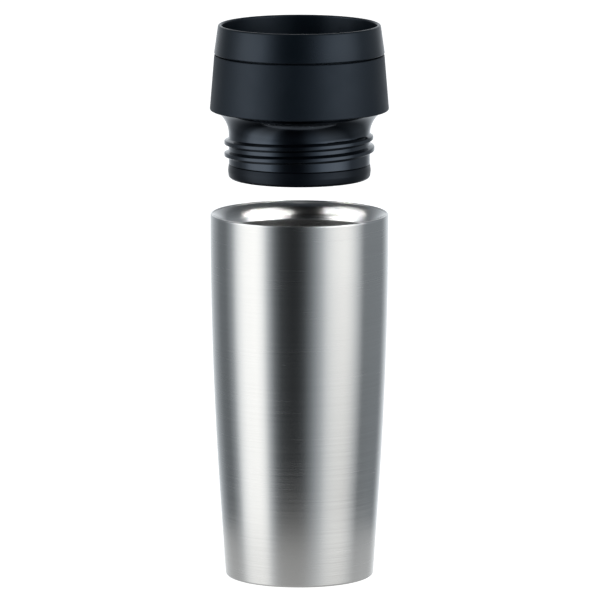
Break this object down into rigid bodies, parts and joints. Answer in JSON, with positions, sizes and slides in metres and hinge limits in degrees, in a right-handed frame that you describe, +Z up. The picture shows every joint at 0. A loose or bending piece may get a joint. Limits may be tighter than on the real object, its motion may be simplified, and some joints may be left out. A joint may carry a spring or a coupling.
{
  "type": "insulated travel mug",
  "caption": "Double-walled steel travel mug with a black screw lid, shown unscrewed and lifted, whose centre button opens a drinking slot all round the rim.",
  "frame": {"origin": "centre of the foot pad's lower face, on the mug's axis, where the mug stands on a table", "axes": "+Z up along the mug's axis, from the foot to the lid; +X to the right and -Y towards the viewer. The body is round, so X and Y only fix where the threads begin."},
  "size_m": [0.0864, 0.0864, 0.2699],
  "materials": {
    "brushed_shell": "circumferentially brushed stainless steel, satin",
    "mouth_steel": "polished stainless steel",
    "liner_steel": "electropolished stainless steel",
    "base_steel": "brushed stainless steel",
    "clip_steel": "spring steel strip",
    "getter_pill": "pressed metal powder, dark grey",
    "seal_glass": "fused sealing glass, opaque brown",
    "foot_silicone": "black silicone",
    "lid_satin": "satin black polypropylene",
    "collar_matte": "matt black soft-touch plastic",
    "neck_gloss": "glossy black plastic",
    "gasket_silicone": "smooth black silicone",
    "washer_silicone": "black silicone",
    "guide_plastic": "black acetal",
    "spring_steel": "drawn stainless spring wire",
    "button_plastic": "satin black polypropylene",
    "latch_plastic": "dark grey acetal",
    "rotor_plastic": "natural white acetal",
    "stem_steel": "turned stainless steel",
    "disc_plastic": "black polypropylene",
    "valve_silicone": "black silicone",
    "nut_steel": "stainless steel"
  },
  "bodies": {
    "mug": {"outer_shell": "brushed_shell", "mouth_ring": "mouth_steel", "inner_liner": "liner_steel", "base_plate": "base_steel", "getter_clip": "clip_steel", "getter": "getter_pill", "sealing_bead": "seal_glass", "base_cover": "base_steel", "foot_pad": "foot_silicone"},
    "gasket": {"neck_gasket": "gasket_silicone"},
    "lid": {"drink_ring": "lid_satin", "grip_collar": "collar_matte", "threaded_neck": "neck_gloss", "bowl_seal": "washer_silicone", "guide_spider": "guide_plastic", "return_spring": "spring_steel"},
    "plunger": {"button_cap": "button_plastic", "latch_crown": "latch_plastic", "valve_stem": "stem_steel", "valve_disc": "disc_plastic", "valve_seal": "valve_silicone", "stem_nut": "nut_steel"},
    "rotor": {"latch_rotor": "rotor_plastic"}
  },
  "joints": [
    {"name": "lid_lift", "type": "slide", "parent": "mug", "child": "gasket", "axis": [0, 0, 1], "range_m": [-0.0501, 0]},
    {"name": "lid_turn", "type": "hinge", "parent": "gasket", "child": "lid", "pos_m": [0, 0, 0.2285], "axis": [0, 0, 1], "range_deg": [-3109.65, 0]},
    {"name": "button_press", "type": "slide", "parent": "lid", "child": "plunger", "axis": [0, 0, 1], "range_m": [-0.005, 0], "stiffness_N_per_m": 600, "springref_m": 0.006, "deforming": ["return_spring"]},
    {"name": "rotor_turn", "type": "hinge", "parent": "plunger", "child": "rotor", "pos_m": [0, 0, 0.243], "axis": [0, 0, 1], "range_deg": [-1, 23.5]}
  ],
  "couplings": [
    {"joint": "lid_lift", "follows": "lid_turn", "m_per_rad": 0.0009231},
    {"joint": "rotor_turn", "follows": "button_press", "rad_per_m": -78.54}
  ]
}
